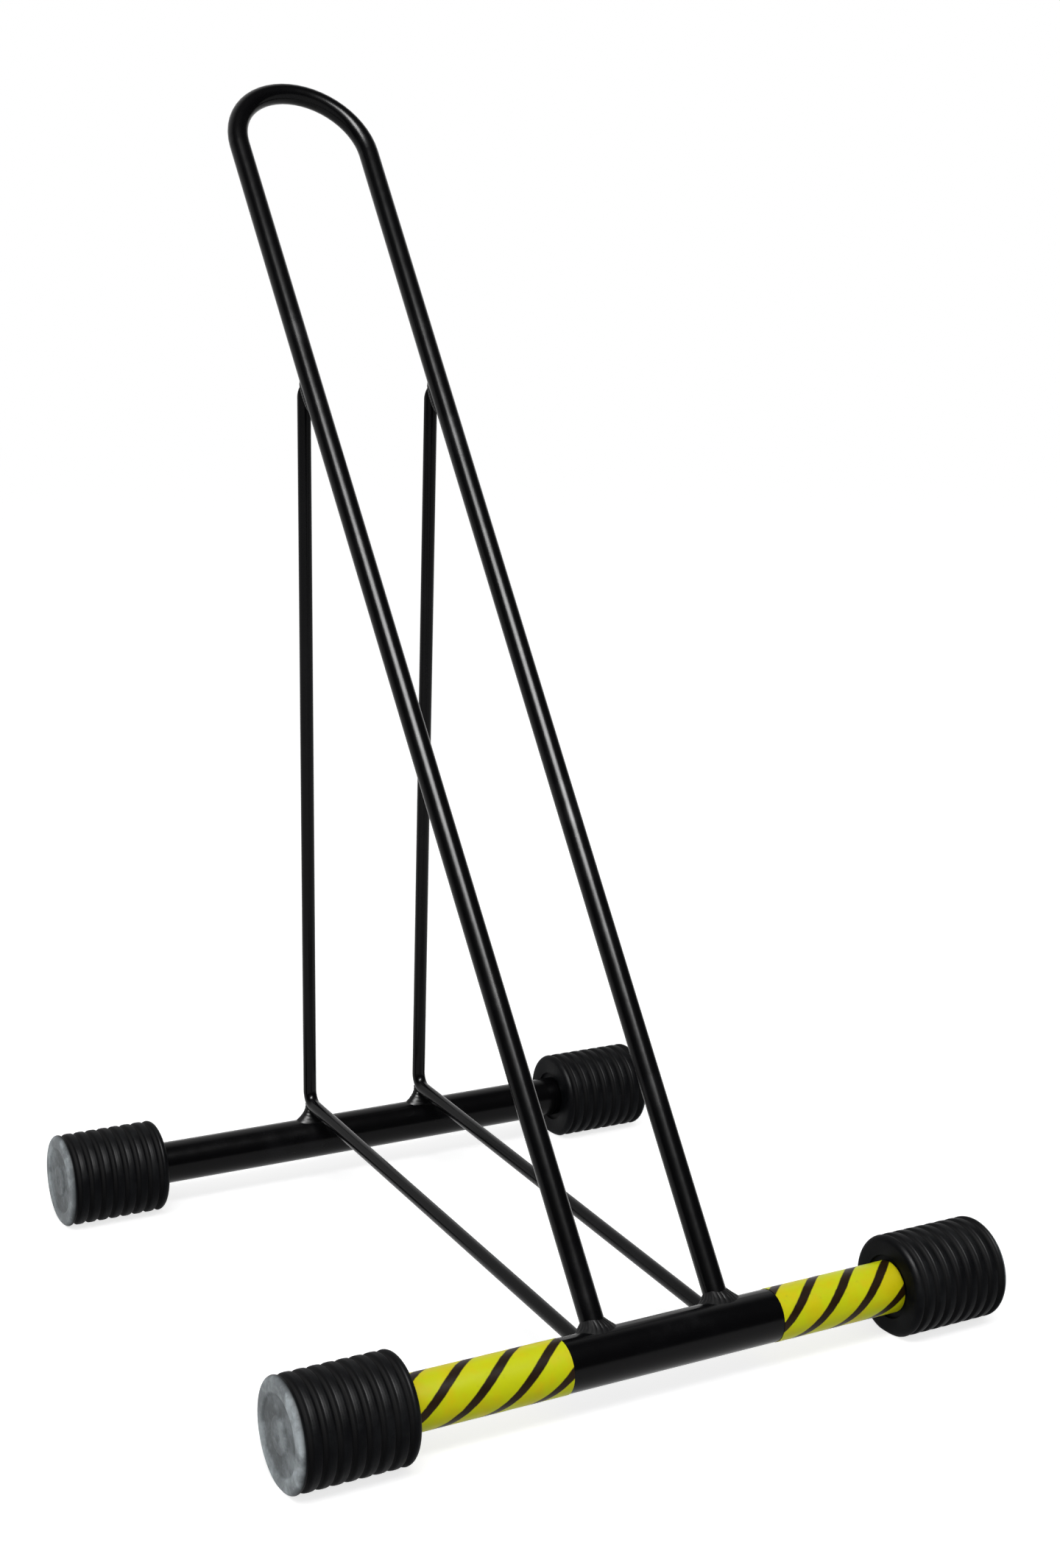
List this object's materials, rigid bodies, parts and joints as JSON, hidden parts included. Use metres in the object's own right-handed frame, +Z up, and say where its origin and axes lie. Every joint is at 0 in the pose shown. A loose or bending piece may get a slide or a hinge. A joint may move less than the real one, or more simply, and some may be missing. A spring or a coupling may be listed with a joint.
{
  "type": "floor bike rack",
  "caption": "Floor-standing bicycle rack: leaning hoop on two cross tubes, thin bent side rods, ribbed rubber end caps and striped yellow tape on the front tube.",
  "frame": {"origin": "on the floor, below the middle of the overall box", "axes": "+X to the rack's right seen from the front, +Y to the back, the way the hoop leans, +Z up"},
  "size_m": [0.3774, 0.4602, 0.629],
  "materials": {
    "black_paint": "satin black powder paint on steel",
    "painted_weld": "weld bead under satin black paint",
    "cap_rubber": "ribbed black rubber with a soft sheen",
    "striped_tape": "yellow adhesive tape with thin dark slanting stripes"
  },
  "bodies": {
    "root": {"front_tube": "black_paint", "rear_tube": "black_paint", "hoop": "black_paint", "side_rod_left": "black_paint", "cap_front_left": "cap_rubber", "cap_rear_left": "cap_rubber", "tape_left": "striped_tape", "hoop_foot_weld_left": "painted_weld", "rod_foot_weld_left": "painted_weld", "rear_bend_weld_left": "painted_weld", "rod_top_weld_left": "painted_weld", "side_rod_right": "black_paint", "cap_front_right": "cap_rubber", "cap_rear_right": "cap_rubber", "tape_right": "striped_tape", "hoop_foot_weld_right": "painted_weld", "rod_foot_weld_right": "painted_weld", "rear_bend_weld_right": "painted_weld", "rod_top_weld_right": "painted_weld"}
  },
  "joints": []
}
